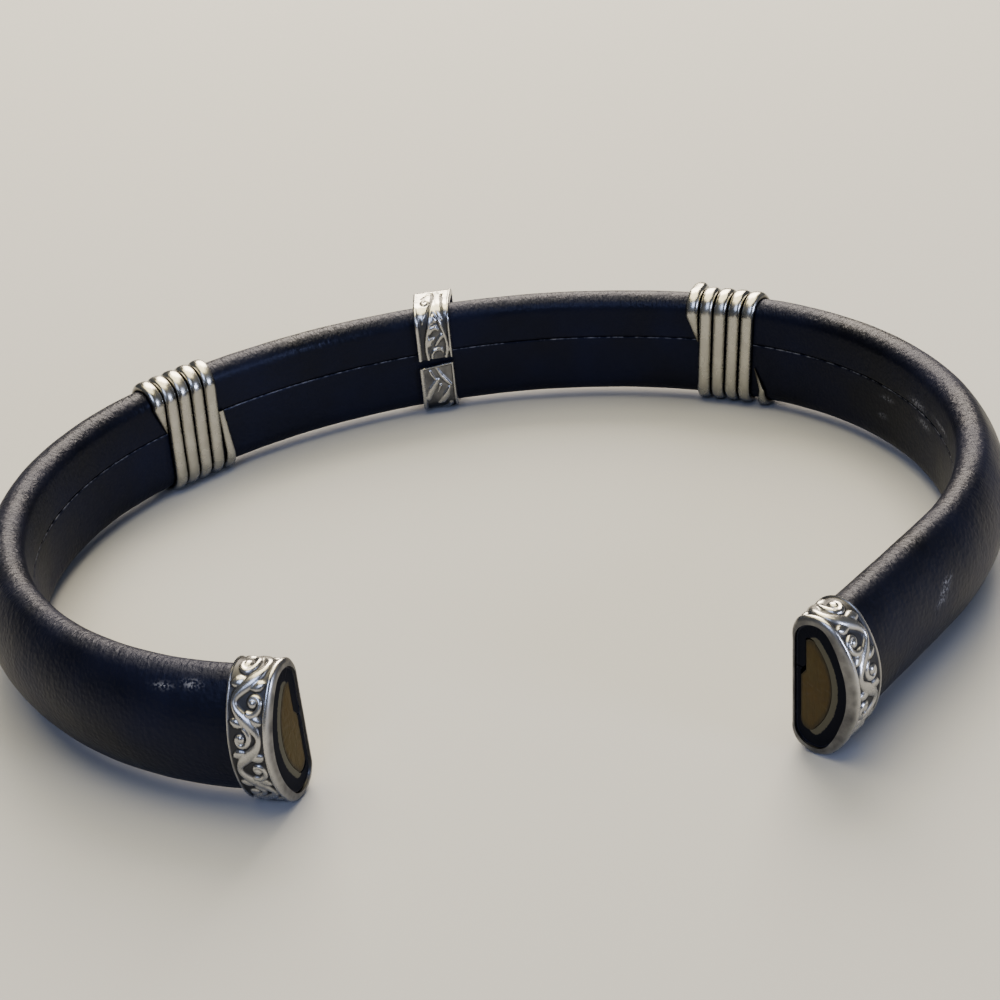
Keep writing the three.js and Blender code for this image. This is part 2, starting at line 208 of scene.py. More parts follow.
lean = add(wrap_tree, "GeometryNodeInputNamedAttribute", {"Name": "lean"}, data_type="FLOAT").outputs["Attribute"]
along = add(wrap_tree, "ShaderNodeMath", {0: flat["X"], 1: given["Path start"]}, operation="SUBTRACT").outputs[0]
along = add(wrap_tree, "ShaderNodeMath", {0: lean, 1: out.outputs[0], 2: along}, operation="MULTIPLY_ADD").outputs[0]
on_path = add(wrap_tree, "GeometryNodeSampleCurve", {"Curves": path, "Length": along},
              mode="LENGTH", use_all_curves=True).outputs
outward = add(wrap_tree, "ShaderNodeVectorMath", {0: (0, 0, 1), 1: on_path["Tangent"]}, operation="CROSS_PRODUCT")
out_step = add(wrap_tree, "ShaderNodeVectorMath", {0: outward.outputs[0], "Scale": out.outputs[0]}, operation="SCALE")
up_step = add(wrap_tree, "ShaderNodeCombineXYZ", {"Z": up.outputs[0]})
spot = add(wrap_tree, "ShaderNodeVectorMath", {0: on_path["Position"], 1: out_step.outputs[0]})
spot = add(wrap_tree, "ShaderNodeVectorMath", {0: spot.outputs[0], 1: up_step.outputs[0]})
bent = add(wrap_tree, "GeometryNodeSetPosition", {"Geometry": marked.outputs[0], "Position": spot.outputs[0]})
bent = add(wrap_tree, "GeometryNodeRealizeInstances", {"Geometry": bent.outputs[0]})
bent = add(wrap_tree, "GeometryNodeSetMaterial", {"Geometry": bent.outputs[0], "Material": given["Surface"]})
add(wrap_tree, "NodeGroupOutput", {0: bent.outputs[0]})


def run_tree(piece, tree, **values):
    """Gives a piece a tree as a modifier, with its inputs set by their identifiers."""
    step = piece.modifiers.new(tree.name, "NODES")
    step.node_group = tree
    for socket in tree.interface.items_tree:
        label = socket.name.lower().replace(" ", "_").replace("-", "_")
        if label in values:
            step[socket.identifier] = values[label]


def wrap_round_band(piece, surface, lift, section=section_guide):
    """Bends a flat piece in mm round the band, and leaves it a plain mesh in metres."""
    run_tree(piece, wrap_tree, band_path=path_guide, section=section,
             path_start=float(PATH_START), lift_off_the_leather=float(lift), surface=surface)
    finish_mesh(piece)


def finish_mesh(piece):
    depsgraph = bpy.context.evaluated_depsgraph_get()
    mesh = bpy.data.meshes.new_from_object(piece.evaluated_get(depsgraph), depsgraph=depsgraph)
    piece.modifiers.clear()
    piece.data = mesh
    mesh.transform(Matrix.Scale(0.001, 4))
    mesh.polygons.foreach_set("use_smooth", np.ones(len(mesh.polygons), bool))
    mesh.set_sharp_from_angle(angle=math.radians(55))


def new_piece(name, points, faces):
    mesh = bpy.data.meshes.new(name)
    mesh.from_pydata(points, [], faces)
    piece = bpy.data.objects.new(name, mesh)
    bpy.context.collection.objects.link(piece)
    return piece


def store(piece, label, values):
    piece.data.attributes.new(label, "FLOAT", "POINT").data.foreach_set("value", np.ascontiguousarray(values, float))


def flat_sheet(name, top, foot, labels, closed, layers=1):
    """Closed flat sheet between two grids of points. The first three numbers of a point are its
    place, and the others are stored by their labels. A closed sheet joins its last row to its
    first, and the layers divide its sides."""
    rows, columns, size = top.shape
    grid = np.arange(rows * columns).reshape(rows, columns)
    if closed:
        grid = np.concatenate([grid, grid[:, :1]], 1)
    under = grid + rows * columns
    points = [top.reshape(-1, size), foot.reshape(-1, size)]
    quads = lambda g: np.stack([g[:-1, :-1], g[1:, :-1], g[1:, 1:], g[:-1, 1:]], -1).reshape(-1, 4)
    faces = [quads(grid), quads(under)[:, ::-1]]
    if closed:
        rims = [(grid[-1], under[-1]), (grid[0, ::-1], under[0, ::-1])]
    else:
        loop = lambda g: np.concatenate([g[:, 0], g[-1, 1:], g[-2::-1, -1], g[0, -2::-1]])
        rims = [(loop(grid), loop(under))]
    count = 2 * rows * columns
    both = np.concatenate(points)
    for upper, lower in rims:
        belts = [lower]
        for layer in range(layers - 1, 0, -1):
            share = layer / layers
            points.append(both[upper[:-1]] * (1 - share) + both[lower[:-1]] * share)
            belt = count + np.arange(len(upper) - 1)
            belts.append(np.append(belt, belt[0]))
            count += len(upper) - 1
        belts.append(upper)
        for a, b in zip(belts, belts[1:]):
            faces.append(np.stack([a[:-1], a[1:], b[1:], b[:-1]], -1))
    points = np.concatenate(points)
    piece = new_piece(name, points[:, :3], np.concatenate(faces))
    for column, label in enumerate(labels):
        store(piece, label, points[:, 3 + column])
    return piece


def paint(code):
    """Linear colour of an sRGB hex value."""
    parts = [int(code[i:i + 2], 16) / 255 for i in (1, 3, 5)]
    return (*[p / 12.92 if p <= 0.04045 else ((p + 0.055) / 1.055) ** 2.4 for p in parts], 1)


def new_material(name):
    """Empty material. Gives it, its tree and its main shader."""
    material = bpy.data.materials.new(name)
    material.use_nodes = True
    tree = material.node_tree
    shader = tree.nodes["Principled BSDF"]
    return material, tree, shader


def place_in_mm(tree):
    place = add(tree, "ShaderNodeTexCoord").outputs["Object"]
    return add(tree, "ShaderNodeMapping", {"Vector": place, "Scale": (1000, 1000, 1000)}).outputs[0]


def noise(tree, place, scale, detail):
    return add(tree, "ShaderNodeTexNoise", {"Vector": place, "Scale": scale, "Detail": detail}).outputs["Fac"]


def ramp(tree, value, start, end, low=0.0, high=1.0):
    """A value mapped from start and end to low and high, and held there."""
    return add(tree, "ShaderNodeMapRange", {
        "Value": value, "From Min": start, "From Max": end, "To Min": low, "To Max": high,
    }).outputs[0]


def blend(tree, share, first, second):
    """Colour between two colours."""
    return add(tree, "ShaderNodeMix", {"Factor": share, 6: first, 7: second}, data_type="RGBA").outputs[2]


# Drum-dyed grain leather: navy to blue-black, satin, with a pebble of about 0.3 mm. The dye goes
# 0.8 mm deep, so the cut ends show a dark ring over the grey-tan flesh side. Scuffs are paler, and so are
# the painted highlight specks on the right outer side and on the left dome.
dyed_leather, tree, shader = new_material("drum_dyed_grain_leather")
place = place_in_mm(tree)
sheet_place = add(tree, "ShaderNodeAttribute", attribute_name="flat").outputs["Vector"]
depth = add(tree, "ShaderNodeSeparateXYZ", {0: sheet_place}).outputs["Z"]
scuff_and_glint = add(tree, "ShaderNodeAttribute", attribute_name="scuff_and_glint").outputs["Fac"]
waver = add(tree, "ShaderNodeTexNoise", {"Vector": place, "Scale": 1.1, "Detail": 2})
shifted = add(tree, "ShaderNodeVectorMath", {0: waver.outputs["Color"], 1: (0.35, 0.35, 0.35), 2: place},
              operation="MULTIPLY_ADD").outputs[0]
pebble = add(tree, "ShaderNodeTexVoronoi", {"Vector": shifted, "Scale": 3.4, "Smoothness": 0.5},
             feature="SMOOTH_F1").outputs["Distance"]
pores = noise(tree, place, 7.0, 3)
patches = noise(tree, place, 0.16, 3)
stretched = add(tree, "ShaderNodeMapping", {"Vector": sheet_place, "Scale": (1.5, 0.25, 0)}).outputs[0]
crease = add(tree, "ShaderNodeTexNoise", {
    "Vector": stretched, "Scale": 1.0, "Detail": 4, "Roughness": 0.6,
}).outputs["Fac"]
around = add(tree, "ShaderNodeSeparateXYZ", {0: sheet_place}).outputs["Y"]
past_edge = ramp(tree, around, 0.3, 1.0)
top_edge = ramp(tree, around, 3.4, 2.0, 0, 0.55)
top_edge = add(tree, "ShaderNodeMath", {0: past_edge, 1: top_edge}, operation="MULTIPLY").outputs[0]
squeezed = add(tree, "ShaderNodeMapping", {"Vector": sheet_place, "Scale": (4.5, 1.6, 0)}).outputs[0]
wrinkle = add(tree, "ShaderNodeTexNoise", {
    "Vector": squeezed, "Scale": 1.0, "Detail": 3, "Distortion": 0.6,
}).outputs["Fac"]
on_skin = ramp(tree, depth, -0.16, -0.08)
grain = add(tree, "ShaderNodeMath", {0: pores, 1: 0.35, 2: pebble}, operation="MULTIPLY_ADD").outputs[0]
grain = add(tree, "ShaderNodeMath", {0: grain, 1: on_skin}, operation="MULTIPLY").outputs[0]
grain_bump = add(tree, "ShaderNodeBump", {"Height": grain, "Strength": 0.4, "Distance": 0.00005})
crease_bump = add(tree, "ShaderNodeBump", {"Height": crease, "Strength": 0.15, "Distance": 0.0002,
                                           "Normal": grain_bump.outputs[0]})
wrinkle_bump = add(tree, "ShaderNodeBump", {"Height": wrinkle, "Strength": top_edge, "Distance": 0.00018,
                                            "Normal": crease_bump.outputs[0]})
blue_share = ramp(tree, patches, 0.3, 0.68)
dye = blend(tree, blue_share, paint("#08090F"), paint("#0E1227"))
# Pale specks: scuff wear, and on the right outer side and the left dome painted highlights
pale_wear_and_glint = ramp(tree, pores, 0.46, 0.58)
pale_wear_and_glint = add(tree, "ShaderNodeMath", {0: pale_wear_and_glint, 1: scuff_and_glint}, operation="MULTIPLY").outputs[0]
seam_edge = add(tree, "ShaderNodeAttribute", attribute_name="seam_edge").outputs["Fac"]
frayed = noise(tree, sheet_place, 2.2, 3)
rubbed = ramp(tree, frayed, 0.42, 0.66, 0, 0.6)
pale_wear_and_glint = add(tree, "ShaderNodeMath", {0: seam_edge, 1: rubbed, 2: pale_wear_and_glint}, operation="MULTIPLY_ADD").outputs[0]
skin_colour = blend(tree, pale_wear_and_glint, dye, paint("#8A8D98"))
dyed_colour = blend(tree, on_skin, paint("#0B0C12"), skin_colour)
dye_edge = add(tree, "ShaderNodeMath", {0: pores, 1: 0.14, 2: depth}, operation="MULTIPLY_ADD").outputs[0]
undyed = ramp(tree, dye_edge, -0.74, -0.8)
colour = blend(tree, undyed, dyed_colour, paint("#5D5A4C"))
gloss = ramp(tree, patches, 0.3, 0.7, 0.36, 0.5)
cut_gloss = add(tree, "ShaderNodeMix", {"Factor": on_skin, 2: 0.8, 3: gloss}).outputs[0]
tree.links.new(colour, shader.inputs["Base Color"])
tree.links.new(cut_gloss, shader.inputs["Roughness"])
tree.links.new(wrinkle_bump.outputs[0], shader.inputs["Normal"])
shader.inputs["Specular IOR Level"].default_value = 0.4
shader.inputs["Specular Tint"].default_value = paint("#C2CAEA")

marks = np.linspace(LEFT_END, RIGHT_END, 380)[:, None]
seam_height = SEAM_HEIGHT_LEFT + (SEAM_HEIGHT_RIGHT - SEAM_HEIGHT_LEFT) * (marks - LEFT_END) / (RIGHT_END - LEFT_END)
seam_place = seam_height - INNER_FACE / 2
lip = np.array([0, 0.04, 0.09, 0.16])
shares = np.concatenate([lip, np.linspace(0.25, GIRTH - SEAM_GAP - 0.25, 96), GIRTH - SEAM_GAP - lip[::-1]])[None, :]
around_mm = seam_place + SEAM_GAP / 2 + shares
along_mm = marks + 0 * around_mm
lip_drop = 0.04 * np.exp(-((np.minimum(shares, GIRTH - SEAM_GAP - shares) / 0.06) ** 2))
ripple = (np.sin(along_mm * 0.71 + 1.3 * np.sin(around_mm * 0.5)) + np.sin(along_mm * 0.29 + around_mm * 0.8 + 2)
          + 0.6 * np.sin(along_mm * 1.9 - around_mm * 1.1 + 1)) / 2.6
skin_height = -0.012 - UNEVENNESS * (1 + ripple) / 2 - lip_drop
# Mask of the pale specks: scuffed places, and painted highlights on the right outer side and the left dome
scuff_and_glint_mask = sum(
    np.exp(-(((along_mm - x) / long) ** 2) - ((around_mm - y) / wide) ** 2) for x, y, long, wide in SCUFFS_AND_GLINTS
)
seam_edge = 0.9 * (shares > GIRTH - SEAM_GAP - 0.07) + 0 * along_mm
lean = cut_lean(along_mm)
top = np.stack([along_mm, around_mm, skin_height, lean, scuff_and_glint_mask, seam_edge], -1)
depth_grid = wall_depth(around_mm + seam_place.mean() - seam_place, seam_place.mean())
foot = np.stack([along_mm, around_mm, -depth_grid, lean, 0 * scuff_and_glint_mask, 0 * seam_edge], -1)
leather = flat_sheet("leather_skin", top, foot, ("lean", "scuff_and_glint", "seam_edge"), closed=False, layers=8)
wrap_round_band(leather, dyed_leather, 0)
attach(leather, "root")
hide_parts("leather_wrap")

# Leather filling
# The stiff strip inside the wrap, cut from undyed hide. Only its two cut ends show, as flat
# golden-brown faces with the short fibres of the cut.
CORE_CLEARANCE = 0.03
CORE_BULGE = 0.07
CORE_RINGS = 10

# Cut edge of vegetable-tanned hide: matt golden brown, with painted shade darkening it towards its rim, where it meets
# the wrap
cut_leather, tree, shader = new_material("cut_tanned_hide")
place = place_in_mm(tree)
fibres = add(tree, "ShaderNodeMapping", {"Vector": place, "Scale": (3.0, 3.0, 0.7)}).outputs[0]
fibre = add(tree, "ShaderNodeTexNoise", {
    "Vector": fibres, "Scale": 1.6, "Detail": 5, "Roughness": 0.65,
}).outputs["Fac"]
stain = noise(tree, place, 0.45, 2)
rim = add(tree, "ShaderNodeAttribute", attribute_name="rim").outputs["Fac"]
tan = blend(tree, fibre, paint("#2E1E0A"), paint("#5C4216"))
tan = blend(tree, stain, tan, paint("#433C16"))
# Painted shade: the rim of each cut face, in the join with the wrap, is darkened
rim_shade = ramp(tree, rim, 0.84, 1.0, 0, 0.75)
tan = blend(tree, rim_shade, tan, paint("#1C170C"))
fuzz = add(tree, "ShaderNodeBump", {"Height": fibre, "Strength": 0.5, "Distance": 0.0001})
tree.links.new(tan, shader.inputs["Base Color"])
tree.links.new(fuzz.outputs[0], shader.inputs["Normal"])
shader.inputs["Roughness"].default_value = 0.62

run = np.roll(section_points, -1, 0) - np.roll(section_points, 1, 0)
run /= np.hypot(*run.T)[:, None]
round_place = np.concatenate([[0], np.cumsum(np.hypot(*np.diff(section_points, axis=0).T))])
core_depth = wall_depth(round_place, seam_place.mean()) + CORE_CLEARANCE
core_outline = (section_points - core_depth[:, None] * np.c_[-run[:, 1], run[:, 0]])[::2]
core_middle = core_outline.mean(0)
rings = []
for end, sign in ((LEFT_END, -1), (RIGHT_END, 1)):
    cap = []
    for ring in range(1, CORE_RINGS + 1):
        share = ring / CORE_RINGS
        outline = core_middle + (core_outline - core_middle) * share
        rough = 0.012 * np.sin(outline[:, 0] * 7 + 3 * np.sin(outline[:, 1] * 5)) + 0.01 * np.sin(outline[:, 1] * 11)
        cap.append((end + sign * (CORE_BULGE * (1 - share**2) + rough * (share < 1)), outline, share))
    rings.append(cap)
lengthwise = [(mark, core_outline, 1.0) for mark in np.linspace(LEFT_END, RIGHT_END, 100)[1:-1]]
loops = rings[0] + lengthwise + rings[1][::-1]
points = []
for mark, outline, share in loops:
    x, y, out_x, out_y = band_place(mark + cut_lean(mark) * outline[:, 0])
    points.append(np.c_[x + outline[:, 0] * out_x, y + outline[:, 0] * out_y, outline[:, 1] + BAND_MIDDLE[2]])
count = len(core_outline)
index = np.arange(len(loops) * count).reshape(-1, count)
index = np.concatenate([index, index[:, :1]], 1)
sides = np.stack([index[:-1, :-1], index[1:, :-1], index[1:, 1:], index[:-1, 1:]], -1).reshape(-1, 4).tolist()
core = new_piece("leather_filling", np.concatenate(points),
                 sides + [index[0, :-1].tolist(), index[-1, -2::-1].tolist()])
shares = np.repeat([share for _, _, share in loops], count)
store(core, "rim", shares)
core.data.materials.append(cut_leather)
finish_mesh(core)
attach(core, "root")
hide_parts("leather_core")

# End sleeves
# A cast silver sleeve pushed over each end of the band: a raised running scroll with curls and
# leaves between a thin rim on the band's side and a smooth lip. The lip is rolled in a little over
# the cut leather on the outside, and hammered thin on the flat inner face.
SLEEVE_WIDTH = 2.7
SLEEVE_OVERHANG = 0.15
METAL_LIFT = 0.06
METAL_FOOT = -0.068
SLEEVE_TOP = 0.39
SLEEVE_FLOOR = 0.21
LIP_WIDTH = 0.42
LIP_ROLL_LEFT = 0.04
LIP_ROLL_RIGHT = 0.24
LIP_THIN_SHARE = 0.35
# Share of bright metal left at the lip's cut end: a darkening that is partly tarnish and partly painted shade
LIP_TARNISH_AND_SHADE_LEVEL = 0.22
THIN_RIM_WIDTH = 0.2
SCROLL_CELLS = 5
RELIEF_STEP = 0.05


def raised_line(across, around, line, half_widths, tall, girth=None):
    """Heights of a rounded raised line on a grid. Where it is thinner it is lower too."""
    widest = max(half_widths)
    best = np.zeros(across.shape)
    for (x0, y0), (x1, y1), w0, w1 in zip(line, line[1:], half_widths, half_widths[1:]):
        run_x, run_y = x1 - x0, y1 - y0
        by_x, by_y = across - x0, around - y0
        if girth:
            by_y = (by_y + girth / 2) % girth - girth / 2
        share = np.clip((by_x * run_x + by_y * run_y) / max(run_x**2 + run_y**2, 1e-9), 0, 1)
        width = w0 + (w1 - w0) * share
        off = np.hypot(by_x - share * run_x, by_y - share * run_y) / width
        best = np.maximum(best, np.clip(1 - off**2, 0, 1) ** 0.7 * (width / widest) ** 0.4)
    return tall * best


def curl(middle_x, middle_y, radius, start, turns, hand):
    """Points of a spiral that winds in from its rim."""
    share = np.linspace(0, 1, 22)
    angle = start + hand * share * turns * 2 * math.pi
    reach = radius * (1 - 0.72 * share)
    return list(zip(middle_x + reach * np.cos(angle), middle_y + reach * np.sin(angle)))


def scroll_relief(across, around, low, high, start, end, cells, girth=None):
    """Running scroll between two sides of a strip: a waving stem, a curl with a bead in each
    bend, and a leaf in each corner."""
    wide = high - low
    pitch = (end - start) / cells
    tall = SLEEVE_TOP - SLEEVE_FLOOR
    relief = np.zeros(across.shape)
    for cell in range(cells):
        base = start + cell * pitch
        share = np.linspace(0, 1, 33)
        stem = list(zip(low + wide * (0.5 + 0.38 * np.cos(2 * math.pi * share)), base + pitch * share))
        leafy = 0.21 + 0.15 * np.sin(2 * math.pi * share) ** 2
        relief = np.maximum(relief, raised_line(across, around, stem, leafy, tall, girth))
        for side, at in ((0.31, 0.0), (0.69, 0.5)):
            hand = 1 if side < 0.5 else -1
            middle = (low + wide * side, base + pitch * at)
            start_angle = 0.35 * math.pi if side < 0.5 else 1.35 * math.pi
            winding = curl(*middle, wide * 0.31, start_angle, 0.8, hand)
            thinned = np.linspace(0.2, 0.15, 22)
            relief = np.maximum(relief, raised_line(across, around, winding, thinned, tall * 0.9, girth))
            bead = [middle, (middle[0] + 0.01, middle[1])]
            relief = np.maximum(relief, raised_line(across, around, bead, [0.29, 0.29], tall, girth))
        for side, at, hand in ((0.94, 0.25, 1), (0.94, 0.76, -1), (0.06, 0.26, -1), (0.06, 0.75, 1)):
            tip = (low + wide * side, base + pitch * at)
            root = (low + wide * (side + (0.5 - side) * 0.7), base + pitch * (at + 0.06 * hand))
            leaf = [tuple(np.array(tip) + (np.array(root) - np.array(tip)) * s) for s in np.linspace(0, 1, 6)]
            half_widths = [0.14, 0.24, 0.3, 0.28, 0.2, 0.12]
            relief = np.maximum(relief, raised_line(across, around, leaf, half_widths, tall * 0.85, girth))
    return relief


# Cast silver, polished on top and left dark with tarnish in its hollows, and darkened at the sleeves' lip ends, partly
# tarnish and partly painted shade: warm white metal
cast_silver, tree, shader = new_material("cast_silver")
place = place_in_mm(tree)
level = add(tree, "ShaderNodeAttribute", attribute_name="relief").outputs["Fac"]
cloud = noise(tree, place, 1.3, 3)
specks = noise(tree, place, 9.0, 3)
tarnish_and_shade_level = add(tree, "ShaderNodeMath", {0: cloud, 1: -0.4, 2: level}, operation="MULTIPLY_ADD").outputs[0]
clean_and_lit = add(tree, "ShaderNodeMapRange", {"Value": tarnish_and_shade_level, "From Min": -0.15, "From Max": 0.42},
            interpolation_type="SMOOTHSTEP").outputs[0]
silver_tone = blend(tree, cloud, paint("#A1A2A5"), paint("#CAC9C7"))
colour = blend(tree, clean_and_lit, paint("#505155"), silver_tone)
polish = ramp(tree, cloud, 0.3, 0.7, 0.22, 0.32)
polish = add(tree, "ShaderNodeMix", {"Factor": clean_and_lit, 2: 0.5, 3: polish}).outputs[0]
pitting = add(tree, "ShaderNodeBump", {"Height": specks, "Strength": 0.12, "Distance": 0.00002})
dents = add(tree, "ShaderNodeBump", {
    "Height": cloud, "Strength": 0.3, "Distance": 0.00006, "Normal": pitting.outputs[0],
})
tree.links.new(colour, shader.inputs["Base Color"])
tree.links.new(polish, shader.inputs["Roughness"])
tree.links.new(dents.outputs[0], shader.inputs["Normal"])
shader.inputs["Metallic"].default_value = 1

for side_name, end, sign, lip_roll in (
    ("left", LEFT_END, -1, LIP_ROLL_LEFT), ("right", RIGHT_END, 1, LIP_ROLL_RIGHT),
):
    rows = np.linspace(0, GIRTH, round(GIRTH / RELIEF_STEP) + 1)[:-1]
    inset = np.concatenate([
        [0, 0.012, 0.03, 0.06], np.linspace(0.1, SLEEVE_WIDTH - 0.06, round(SLEEVE_WIDTH / RELIEF_STEP)),
        [SLEEVE_WIDTH - 0.03, SLEEVE_WIDTH],
    ])
    inset_grid, around_grid = np.meshgrid(inset, rows, indexing="ij")
    relief = scroll_relief(inset_grid, around_grid, LIP_WIDTH + 0.04, SLEEVE_WIDTH - THIN_RIM_WIDTH - 0.03,
                           0, GIRTH, SCROLL_CELLS, GIRTH)
    lip_share = np.clip(inset_grid / LIP_WIDTH, 0, 1)
    lip_height = SLEEVE_TOP * np.sqrt(np.clip(1 - np.clip(1 - lip_share / 0.62, 0, 1) ** 2, 0, 1))
    falling = SLEEVE_TOP * np.cos(np.clip(lip_share - 0.7, 0, 1) / 0.3 * 0.32 * math.pi) ** 0.7
    lip_height = np.where(lip_share > 0.7, falling, lip_height)
    thin_share = np.clip((SLEEVE_WIDTH - inset_grid) / THIN_RIM_WIDTH, 0, 1)
    thin_height = (SLEEVE_TOP - 0.06) * np.clip(np.sin(math.pi * (0.1 + 0.9 * thin_share)), 0, 1) ** 0.6
    heights = np.where(inset_grid > SLEEVE_WIDTH - THIN_RIM_WIDTH, thin_height, 0)
    heights = np.where(inset_grid < LIP_WIDTH, lip_height, heights)
    inner = (inset_grid > 0.5 * LIP_WIDTH) & (inset_grid < SLEEVE_WIDTH - THIN_RIM_WIDTH / 2)
    heights = np.where(inner, np.maximum(heights, SLEEVE_FLOOR + relief), heights)
    # Share of bright metal: on the scroll by its height, so its hollows tarnish; towards the lip's cut end it drops,
    # partly tarnish and partly painted shade
    bright_share = np.where(inner, np.clip((heights - SLEEVE_FLOOR) / (SLEEVE_TOP - SLEEVE_FLOOR), 0, 1),
                      LIP_TARNISH_AND_SHADE_LEVEL + (1 - LIP_TARNISH_AND_SHADE_LEVEL) * lip_share)
    face_middle = GIRTH - INNER_FACE / 2
    off_face = np.abs((around_grid - face_middle + GIRTH / 2) % GIRTH - GIRTH / 2)
    on_face = np.clip((INNER_FACE / 2 + 1.0 - off_face) / 1.0, 0, 1)
    on_dome = np.clip((off_face - INNER_FACE / 2 - 2.2) / 2.5, 0, 1)
    near_lip = np.clip(1.6 - inset_grid / LIP_WIDTH, 0, 1)
    heights = heights * (1 - (1 - LIP_THIN_SHARE) * on_face * near_lip)
    over_cut = np.clip((0.13 - inset_grid) / 0.03, 0, 1)
    feet = METAL_FOOT - lip_roll * on_dome * over_cut
    along_grid = end + sign * (SLEEVE_OVERHANG - inset_grid)
    lean = cut_lean(along_grid)
    top = np.stack([along_grid, around_grid, np.maximum(heights, feet + 0.02), lean, bright_share], -1)
    foot = np.stack([along_grid, around_grid, feet, lean, bright_share], -1)
    if sign > 0:
        top, foot = top[::-1], foot[::-1]
    sleeve = flat_sheet(f"end_sleeve_{side_name}_cast", top, foot, ("lean", "relief"), closed=True)
    wrap_round_band(sleeve, cast_silver, METAL_LIFT)
    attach(sleeve, "root")
    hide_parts(f"end_sleeve_{side_name}")

# Centre ring
# A strip of the same cast silver, bent squarely round the band near the middle of the back, a
# little askew, and closed on the inner face, where a slit is left. A veined leaf stands above it.
RING_PLACE = -4.37
RING_WIDTH = 2.8
RING_CORNER_RADIUS = 0.34
RING_BULGE = 0.1
RING_TURN = 0.2
RING_GAP = 0.56
RING_GAP_SLANT = 0.22
RAIL_WIDTH = 0.4
RIGHT_RAIL_WIDTH = 0.26

ring_corner_out = LEATHER_THICKNESS - EDGE_RADIUS - RING_BULGE - RING_CORNER_RADIUS
ring_guide, RING_ROUND = section_curve("ring_section", band_section(ring_corner_out, RING_CORNER_RADIUS))
ring_girth = RING_ROUND - RING_GAP
rows = np.linspace(0, ring_girth, round(ring_girth / RELIEF_STEP))
columns = np.linspace(0, RING_WIDTH, round(RING_WIDTH / RELIEF_STEP) + 1)
across_grid, up_grid = np.meshgrid(columns, rows, indexing="ij")
tall = SLEEVE_TOP - SLEEVE_FLOOR
relief = scroll_relief(across_grid, up_grid, RAIL_WIDTH + 0.04, RING_WIDTH - RIGHT_RAIL_WIDTH - 0.04,
                       6.6, ring_girth - 3.3, 3)
leaf_body = raised_line(across_grid, up_grid, [(1.66, 0.1), (1.68, 1.0), (1.62, 2.0), (1.55, 3.0), (1.5, 3.9)],
                        [1.05, 1.05, 0.85, 0.6, 0.3], 0.2 * tall)
lower_body = 0.22 * tall * np.clip((up_grid - ring_girth + 3.4) / 0.5, 0, 1)
top_share = np.clip((up_grid - 2.8) / 0.9, 0, 1) * np.clip((7.0 - up_grid) / 0.6, 0, 1)
relief = np.maximum.reduce([relief, leaf_body, lower_body, 0.72 * tall * top_share * (3 - 2 * top_share) * top_share])
# Raised strokes and cut strokes on the ring: points across it and up from its slit, and half widths
lines = [
    (
        [(0.84, 0.02), (0.76, 0.7), (0.8, 1.5), (0.98, 2.3), (1.22, 3.0), (1.42, 3.7)],
        [0.17, 0.17, 0.16, 0.16, 0.15, 0.1],
    ),
    (
        [(2.26, 0.1), (2.42, 0.6), (2.42, 1.2), (2.28, 2.0), (2.08, 2.7), (1.8, 3.3), (1.52, 3.7)],
        [0.2, 0.18, 0.14, 0.14, 0.15, 0.15, 0.1],
    ),
    (
        [(1.16, 0.1), (1.2, 0.45), (1.38, 0.7), (1.64, 0.78), (1.92, 0.74), (2.06, 0.48)],
        [0.15, 0.16, 0.17, 0.17, 0.16, 0.09],
    ),
    ([(0.98, 1.2), (1.1, 1.54), (1.36, 1.66)], [0.24, 0.28, 0.18]),
    ([(1.56, 1.16), (1.8, 1.5), (2.1, 1.84)], [0.16, 0.22, 0.24]),
    ([(1.1, 2.16), (1.3, 2.44), (1.62, 2.54), (1.84, 2.34)], [0.18, 0.24, 0.2, 0.12]),
    ([(1.38, 2.86), (1.5, 3.2), (1.66, 2.98)], [0.16, 0.22, 0.14]),
    ([(0.72, 2.95), (0.78, 3.5), (0.9, 4.2), (1.0, 5.0), (1.2, 5.9)], [0.2, 0.5, 0.62, 0.6, 0.4]),
    ([(2.2, 3.1), (1.98, 3.8), (1.86, 4.6), (1.8, 5.4), (1.6, 6.3)], [0.2, 0.4, 0.46, 0.44, 0.3]),
    ([(0.5, ring_girth - 2.6), (0.85, ring_girth - 1.95), (1.35, ring_girth - 1.25)], [0.24, 0.34, 0.22]),
    (
        [(1.35, ring_girth - 0.2), (1.7, ring_girth - 0.9), (2.05, ring_girth - 1.4), (2.4, ring_girth - 1.8)],
        [0.12, 0.19, 0.2, 0.14],
    ),
    ([(0.8, ring_girth - 0.35), (0.95, ring_girth - 0.75), (1.15, ring_girth - 1.1)], [0.11, 0.14, 0.09]),
    (
        [(1.3, ring_girth - 3.1), (1.65, ring_girth - 2.95), (2.0, ring_girth - 2.5), (2.25, ring_girth - 2.0)],
        [0.14, 0.27, 0.3, 0.14],
    ),
    ([(1.3, ring_girth - 2.3), (1.55, ring_girth - 1.7)], [0.09, 0.15]),
]
grooves = [
    (curl(0.95, 4.3, 0.42, 0.6 * math.pi, 1.1, 1), [0.075] * 22),
    (
        [(0.66, 2.6), (0.86, 3.0), (1.16, 3.5), (1.42, 4.3), (1.45, 5.1), (1.35, 6.0)],
        [0.12, 0.14, 0.12, 0.11, 0.1, 0.08],
    ),
    ([(2.44, 2.6), (2.3, 3.3), (2.18, 4.3), (2.15, 5.6)], [0.1, 0.1, 0.09, 0.08]),
    ([(0.6, 5.1), (0.9, 5.5), (1.2, 5.6)], [0.05, 0.08, 0.05]),
]
for line, half_widths in lines:
    relief = np.maximum(relief, raised_line(across_grid, up_grid, line, half_widths, tall))
for line, half_widths in grooves:
    relief = relief - np.minimum(relief, raised_line(across_grid, up_grid, line, half_widths, 0.7 * tall))
rails = []
